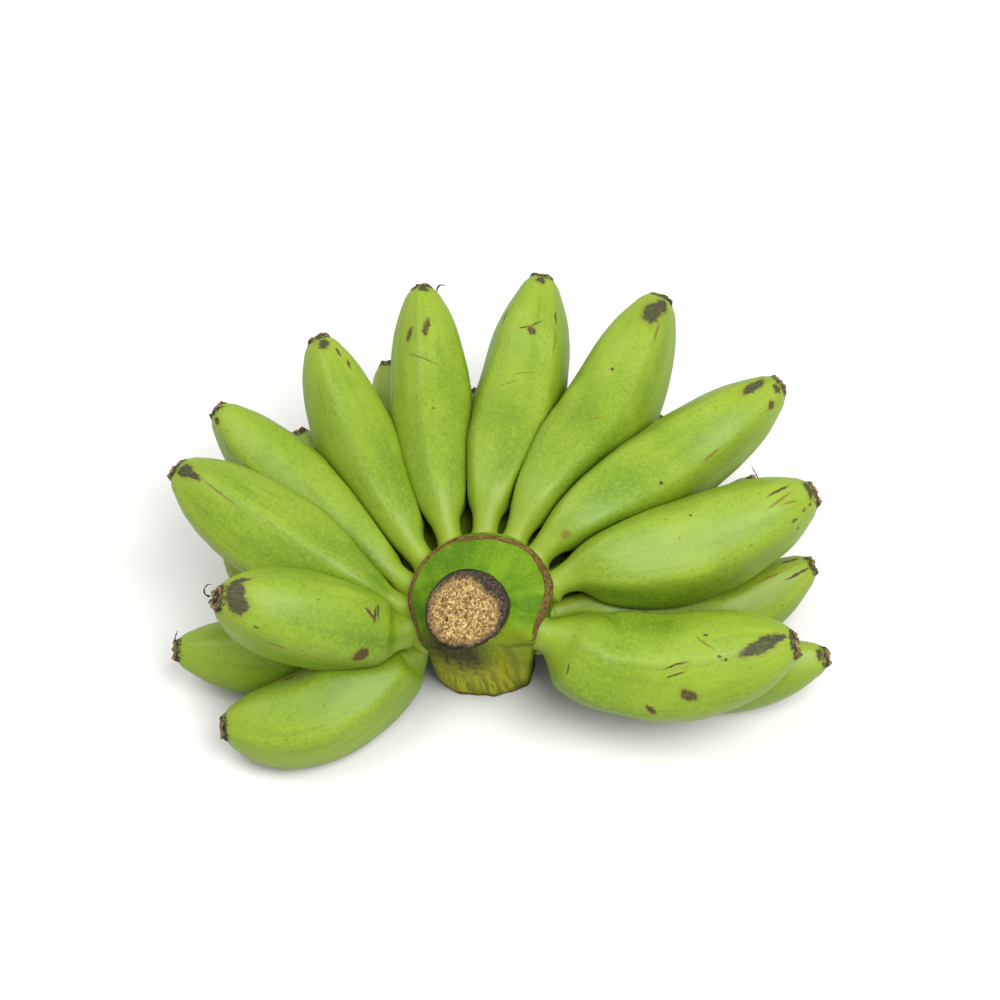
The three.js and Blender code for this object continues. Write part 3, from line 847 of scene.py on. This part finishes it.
def build_cut_face():
    """The cut end of the stem: a sunken disc of fibre ends in an uneven blackened rim."""
    around = np.linspace(0, 2 * math.pi, CUT_SEGMENTS, endpoint=False)[None, :]
    share = np.linspace(0.01, 1, CUT_RINGS)[:, None]
    around, share = np.broadcast_arrays(around, share)
    rim = crown_radius(around, CUT_ALONG) + stub_shape(around, np.full_like(around, CUT_ALONG))
    rim = rim + 0.35 + 0.3 * np.sin(11 * around) * np.sin(4 * around + 1)
    border = CUT_SHARE - 0.22 * bump_at(around, 40, 44) + 0.1 * bump_at(around, -80, 80)
    border = border + 0.03 * bump_at(around, 190, 40)
    border = border + 0.012 * np.sin(5 * around) + 0.01 * np.sin(19 * around)
    flat = (outward(around) * (share * rim)[..., None]).reshape(-1, 3)
    fibres = (waves(flat, 21, 1.6, 11) * 0.26 + waves(flat, 22, 4.0) * 0.22).reshape(share.shape)
    edge = share - border
    lip = 0.9 * np.exp(-(((edge - 0.03) / 0.05) ** 2)) - 1.6 * smoothstep(share, 0.93, 1.0)
    sunk = 0.5 * smoothstep(share, 1, 0.5)
    height = STEM_LENGTH + fibres * (1 - smoothstep(share, 0.95, 1)) + lip - sunk
    grid = stem_point(height) + outward(around) * (share * rim)[..., None]
    skirt = crown_point(around[-1:], np.full_like(around[-1:], SKIRT_ALONG), -0.4)
    grid = np.concatenate([grid, skirt])
    edge = np.concatenate([edge, np.full_like(edge[-1:], 0.2)])
    points, faces = capped(grid, first_pole=stem_point(STEM_LENGTH), last_pole=stem_point(SKIRT_ALONG))
    values = {"edge": with_poles(edge, -1, 0.2)}
    make_mesh("cut_face", points, faces, cut_material(), values=values)


# -------------------- the fingers' shapes


def finger_shape(spec, along):
    """A finger's centre line, frames and free radius along its length."""
    name, around, lift, belly, tip, girth, ridge, plump = spec
    around = math.radians(around)
    lift = math.radians(lift)
    out = outward(around)
    root = stem_point(along) + out * (crown_radius(around, along) - NECK_ROOTED)
    leave = out * math.cos(lift) + STEM_AXIS * math.sin(lift)
    belly = np.array(belly, float)
    tip = np.array(tip, float)
    points = [root - out * BURIED, root, root + leave * NECK_LENGTH, belly, tip]
    line, length = centripetal(points, ALONG_RINGS)
    share_along = (np.linspace(0, length, ALONG_RINGS) - BURIED) / (length - BURIED)
    hang = SAG.get(name, 0.0) * np.exp(-(((share_along - 0.24) / 0.13) ** 2))
    line = line + hang[:, None] * SAG_WAY
    bend_normal = unit(np.cross(belly - root, tip - belly))
    tangent = unit(np.gradient(line, axis=0))
    side = unit(bend_normal - (tangent @ bend_normal)[:, None] * tangent)
    up = np.cross(tangent, side)
    travelled = np.linspace(0, length, ALONG_RINGS) - BURIED
    length = length - BURIED
    body_start = NECK_LENGTH * 0.8
    body = np.clip((travelled - body_start) / (length - body_start), 0, 1)
    xs, ys = zip(*BODY_PROFILE)
    share = smooth_line(xs, ys, body)
    width = girth / 2 * share ** (1 - plump * (1 - smoothstep(body, 0.1, 0.45)))
    neck_share = 1 - smoothstep(travelled, NECK_ROOTED, NECK_LENGTH * (1.4 - 0.25 * plump))
    emerged = travelled - NECK_ROOTED
    flare = np.where(emerged > 0, np.exp(-emerged / FLARE_FADE), 1 + emerged / 6)
    flare = flare * NECK_FLARE * (1 - plump)
    plain = width + (NECK_RADIUS + 2 * plump - width) * neck_share
    return {
        "name": name, "line": line, "length": length, "tangent": tangent, "side": side, "up": up,
        "travelled": travelled, "at": travelled / length, "plain_radius": plain,
        "radius": np.maximum(plain + flare, 1.0), "ridge": math.radians(ridge), "girth": girth,
    }


def ridge_angles(shape, seed):
    """Five ridges, the clearest first, the others a little unevenly spaced."""
    draw = np.random.RandomState(seed)
    steps = 2 * math.pi / 5 * np.arange(5) + np.concatenate([[0], draw.uniform(-0.14, 0.14, 4)])
    return shape["ridge"] + steps


def section(turn, ridges):
    """A rounded five-sided outline, about 1, and how near each point of it is to a ridge, 0 to 1."""
    ahead = np.roll(ridges, -1)
    ahead[-1] += 2 * math.pi
    faces = (ridges + ahead) / 2
    reach = np.cos((ahead - ridges) / 2)
    turn = np.asarray(turn)[:, None]
    share = np.clip(np.cos(turn - faces) / reach, 0, None)
    outline = np.sum(share ** RIDGE_SHARPNESS, axis=1) ** (-1 / RIDGE_SHARPNESS)
    near_ridge = np.max(np.cos(turn - ridges[None, :]), axis=1)
    return outline / outline.mean(), near_ridge


def contact_radius(centres, rays, free, others):
    """How far each ray may go before it is nearer, in shares of the radius, to a neighbour."""
    limit = np.full(len(centres), np.inf)
    for other in others:
        picks = other["line"][::2]
        radii = other["plain_radius"][::2]
        for point, radius in zip(picks, radii):
            q = centres - point
            a = 1 / radius ** 2 - 1 / free ** 2
            b = np.einsum("ij,ij->i", q, rays) / radius ** 2
            c = np.einsum("ij,ij->i", q, q) / radius ** 2
            inside = b * b - a * c
            root = np.sqrt(np.maximum(inside, 0))
            with np.errstate(divide="ignore", invalid="ignore"):
                first = (-b - root) / a
                second = (-b + root) / a
            for found in (first, second):
                found = np.where((inside > 0) & (found > 0), found, np.inf)
                limit = np.minimum(limit, found)
    return limit


def lines_apart(one, other):
    """The shortest distance between two fingers' centre lines."""
    gaps = other["line"][::6, None] - one["line"][None, ::6]
    return np.min(np.linalg.norm(gaps, axis=2))


def finger_grid(shape, shapes, seed):
    """The finger's skin as a ring-by-segment grid, pressed flat where it meets others or the table."""
    turn = 2 * math.pi * np.arange(AROUND_SEGMENTS) / AROUND_SEGMENTS
    ridges = ridge_angles(shape, seed)
    outline, near_ridge = section(turn, ridges)
    travelled = shape["travelled"]
    rays = rays_round(turn, shape["side"], shape["up"])
    oval = np.hypot(np.cos(turn), DEPTH_RATIO * np.sin(turn))[None, :]
    angular = smoothstep(travelled, 8, 30) * (0.6 - 0.22 * smoothstep(shape["at"], 0.35, 0.75))
    free = shape["radius"][:, None] * oval * (1 + (outline[None, :] - 1) * angular[:, None])
    centres = np.repeat(shape["line"][:, None, :], AROUND_SEGMENTS, axis=1)
    flat_centres = centres.reshape(-1, 3)
    flat_rays = rays.reshape(-1, 3)
    skin = (centres + rays * free[..., None]).reshape(-1, 3)
    lumps = waves(skin, seed, 34.0) * 0.012 + waves(skin, seed + 50, 13.0) * 0.004
    free = free * (1 + lumps.reshape(free.shape) * smoothstep(travelled, 5, 25)[:, None])
    others = [other for other in shapes if other is not shape]
    near = [other for other in others if lines_apart(shape, other) < NEIGHBOUR_REACH]
    limit = contact_radius(flat_centres, flat_rays, free.ravel(), near).reshape(free.shape)
    limit = np.maximum(limit - CONTACT_GAP, free * LEAST_SHARE)
    limit = np.where(travelled[:, None] < FREE_NECK, np.inf, limit)
    pressed = np.minimum(free, limit)
    share = soften(pressed / free, 3)
    radius = free * np.minimum(share, 1)
    grid = centres + rays * radius[..., None]
    grid[..., 2] = np.maximum(grid[..., 2], CLEAR)
    return grid, near_ridge, turn


# Rings that round a tip over: millimetres beyond its end, and share of its radius
TIP_CLOSING = [(0.5, 0.97), (0.9, 0.88), (1.1, 0.7), (1.1, 0.4)]


def close_tip(shape, grid):
    """Rounds the skin over at the tip, in under the dried end."""
    tangent = shape["tangent"][-1]
    rim = grid[-1]
    centre = rim.mean(axis=0)
    extra = [centre + tangent * step + (rim - centre) * share for step, share in TIP_CLOSING]
    return np.concatenate([grid, np.array(extra)]), centre + tangent * TIP_CLOSING[-1][0]


def place_mark(shape, grid, mark):
    """Where a mark lies on the finger: its middle, its turn as Euler angles and its size, in metres."""
    kind, along, turn, length, width, slant = mark
    ring = min(int(np.argmin(np.abs(shape["at"] - along))), ALONG_RINGS - 2)
    segment = int(round(turn / 360 * AROUND_SEGMENTS)) % AROUND_SEGMENTS
    centre = grid[ring, segment]
    forward = unit(grid[ring + 1, segment] - grid[ring - 1, segment])
    across = unit(grid[ring, (segment + 1) % AROUND_SEGMENTS] - grid[ring, segment - 1])
    across = unit(across - (across @ forward) * forward)
    angle = math.radians(slant)
    first = forward * math.cos(angle) + across * math.sin(angle)
    second = across * math.cos(angle) - forward * math.sin(angle)
    normal = np.cross(first, second)
    turned = Matrix((first, second, normal)).transposed().to_euler()
    size = (length / 2 * MM, width / 2 * MM, max(length, 6.0) / 2 * MM)
    return {"kind": kind, "centre": (centre - ORIGIN) * MM, "turn": turned, "size": size}


def build_finger(shape, shapes, seed, marks):
    grid, near_ridge, turn = finger_grid(shape, shapes, seed)
    placed = [place_mark(shape, grid, mark) for mark in marks]
    material = peel_material(f"peel_{shape['name']}", seed, placed)
    grid, pole = close_tip(shape, grid)
    points, faces = capped(grid, first_pole=shape["line"][0], last_pole=pole)
    rings = len(grid)
    at = np.concatenate([shape["at"], np.full(rings - ALONG_RINGS, 1.0)])
    along = np.repeat(at, AROUND_SEGMENTS)
    turns = np.tile(turn, rings)
    ridge = smoothstep(np.tile(near_ridge, rings), 0.86, 1.0)
    # where painted shade darkens the skin beside the clearest ridge
    ridge_shade = ridge_shade_band(shape, turns, along)
    mean = shape["girth"] / 2
    skin = np.stack([np.cos(turns) * mean, np.sin(turns) * mean, along * shape["length"]], axis=1)
    values = {
        "along": with_poles(along, 0, 1),
        "ridge": with_poles(ridge),
        "ridge_shade": with_poles(ridge_shade),
        "skin_place": np.concatenate([skin, [[0, 0, 0], [0, 0, shape["length"]]]]),
    }
    name = "finger_" + shape["name"]
    make_mesh(f"skin_{name}", points, faces, material, name, values)
    build_dried_end(shape, grid, seed)


DRIED_RINGS = 34
DRIED_SEGMENTS = 60


def build_dried_end(shape, grid, seed):
    """What is left of the flower: a torn rim, a sunken ring inside it and a knob in the middle."""
    draw = np.random.RandomState(seed + 200)
    rim = grid[ALONG_RINGS - 1]
    centre = rim.mean(axis=0)
    radius = np.linalg.norm(rim - centre, axis=1).mean()
    tangent = shape["tangent"][-1]
    around = np.linspace(0, 2 * math.pi, DRIED_SEGMENTS, endpoint=False)[None, :]
    share = np.linspace(1.0, 0.02, DRIED_RINGS)[:, None]
    around, share = np.broadcast_arrays(around, share)
    phases = draw.uniform(0, 2 * math.pi, 6)
    torn = sum(np.sin((k + 1) * around + phases[k]) / (1 + 0.35 * k) for k in range(6)) / 2.2
    crest_at = 0.66 + 0.06 * torn
    crest = np.exp(-(((share - crest_at) / 0.16) ** 2))
    knob = np.exp(-((share / 0.2) ** 2))
    skirt = 1 - smoothstep(share, 0.8, 1.0)
    height = 0.25 + skirt * 0.4 + crest * (1.0 + 0.5 * torn) + knob * 1.0
    out = np.cos(around)[..., None] * shape["side"][-1] + np.sin(around)[..., None] * shape["up"][-1]
    reach = share * radius * (1.0 + 0.07 * torn * share)
    lift = -0.5 + 1.2 * smoothstep(share, 1.0, 0.9) + height - 0.3
    grid = centre + out * reach[..., None] + tangent * lift[..., None]
    flat = grid.reshape(-1, 3)
    rough = waves(flat, seed + 60, 3.0, 9) * 0.28 + waves(flat, seed + 61, 1.4, 11) * 0.2
    rough = rough.reshape(share.shape) * smoothstep(share, 1.0, 0.85)
    grid = grid + (tangent + 0.5 * out) * rough[..., None]
    grid[..., 2] = np.maximum(grid[..., 2], CLEAR)
    top = grid[-1].mean(axis=0)
    points, faces = capped(grid, first_pole=centre - tangent * 1.0, last_pole=top)
    level = np.clip(crest * (0.7 + 0.3 * torn) + knob * 0.7, 0, 1)
    values = {"crest": with_poles(level, 0, 0.5)}
    name = "dried_end_" + shape["name"]
    material = dried_material(f"dried_{shape['name']}", seed)
    make_mesh(f"torn_{name}", points, faces, material, name, values)


THREAD_SEGMENTS = 8


def build_thread(name, shape, steps, thickness, material):
    """A withered thread from a finger's end; its points are millimetres right, back and up from it."""
    start = shape["line"][-1]
    line, _ = centripetal([start + np.array(step, float) for step in steps], 60)
    tangent = unit(np.gradient(line, axis=0))
    side = unit(np.cross(tangent, [0.3, 0.5, 0.8]))
    up = np.cross(tangent, side)
    turn = np.linspace(0, 2 * math.pi, THREAD_SEGMENTS, endpoint=False)
    rays = rays_round(turn, side, up)
    share = np.linspace(0, 1, len(line))
    radius = thickness / 2 * (1 - 0.6 * share) * (1 + 0.25 * np.sin(share * 19))
    grid = line[:, None, :] + rays * radius[:, None, None]
    points, faces = capped(grid, first_pole=line[0], last_pole=line[-1])
    make_mesh(name, points, faces, material)


def ridge_shade_band(shape, turns, along):
    """Painted shade: the darker green band that runs beside the clearest ridge, strongest near the neck.
    """
    away = (turns - shape["ridge"] + math.pi) % (2 * math.pi) - math.pi
    beside = np.exp(-(((away - 0.42) / 0.26) ** 2)) + 0.55 * np.exp(-(((away + 0.5) / 0.3) ** 2))
    return beside * (1 - 0.75 * smoothstep(along, 0.35, 0.85))


# -------------------- camera, light and floor

PHOTO_ELEVATION = 50.0
CAMERA_DISTANCE = 1100.0
MM_PER_FRAME = 400.0  # how much of the collar's depth plane the square frame takes in
AIM_RIGHT = 7.2  # from the collar's centre to the middle of the frame, in the picture plane
AIM_UP = 42.0


def add_camera():
    tilt = math.radians(PHOTO_ELEVATION)
    forward = np.array([0, math.cos(tilt), -math.sin(tilt)])
    above = np.array([0, math.sin(tilt), math.cos(tilt)])
    aim = COLLAR_CENTRE - ORIGIN + np.array([AIM_RIGHT, 0, 0]) + AIM_UP * above
    camera = bpy.data.cameras.new("camera")
    camera.sensor_width = 36.0
    camera.lens = 36.0 * CAMERA_DISTANCE / MM_PER_FRAME
    camera.clip_end = 20.0
    holder = add_object("camera", camera)
    holder.location = (aim - CAMERA_DISTANCE * forward) * MM
    holder.rotation_euler = (math.pi / 2 - tilt, 0, 0)
    bpy.context.scene.camera = holder


def add_light(name, place, aim, size, power):
    light = bpy.data.lights.new(name, "AREA")
    light.shape = "RECTANGLE"
    light.size, light.size_y = size
    light.energy = power
    holder = add_object(name, light)
    holder.location = place
    holder.rotation_euler = (Vector(aim) - Vector(place)).to_track_quat("-Z", "Y").to_euler()


WORLD_STRENGTH = 0.9
FLOOR_COLOUR = (0.57, 0.57, 0.55, 1.0)
FLOOR_HALF = 4.0
LIGHT_AIM = (0, 0, 0.02)
LIGHT_SIZE = (0.9, 0.9)
# name, place in metres and power in watts
LIGHTS = [("key", (0.48, -0.56, 1.15), 25.5), ("fill", (-0.6, 0.1, 1.3), 11.0)]


def add_studio():
    world = bpy.data.worlds.new("studio")
    world.use_nodes = True
    background = world.node_tree.nodes["Background"]
    background.inputs["Color"].default_value = (1.0, 1.0, 1.0, 1.0)
    background.inputs["Strength"].default_value = WORLD_STRENGTH
    bpy.context.scene.world = world
    for name, place, power in LIGHTS:
        add_light(name, place, LIGHT_AIM, LIGHT_SIZE, power)
    bpy.context.scene.view_settings.view_transform = "Standard"

    shade = Shader("floor_white")
    material = shade.finish(FLOOR_COLOUR, 0.9, specular=0.1)
    mesh = bpy.data.meshes.new("floor")
    corners = [(FLOOR_HALF * x, FLOOR_HALF * y, 0) for x, y in ((-1, -1), (1, -1), (1, 1), (-1, 1))]
    mesh.from_pydata(corners, [], [(0, 1, 2, 3)])
    mesh.materials.append(material)
    add_object("floor", mesh)


# -------------------- the hand

add_camera()
add_studio()
build_crown()
build_cork_scar()
build_cut_face()
shapes = [finger_shape(spec, UPPER_ALONG) for spec in UPPER_ROW]
shapes += [finger_shape(spec, LOWER_ALONG) for spec in LOWER_ROW]
for number, shape in enumerate(shapes):
    build_finger(shape, shapes, number + 3, MARKS.get(shape["name"], []))
by_name = {shape["name"]: shape for shape in shapes}
threads = thread_material()
for finger, thickness, steps in THREADS:
    build_thread(f"thread_{finger}", by_name[finger], steps, thickness, threads)
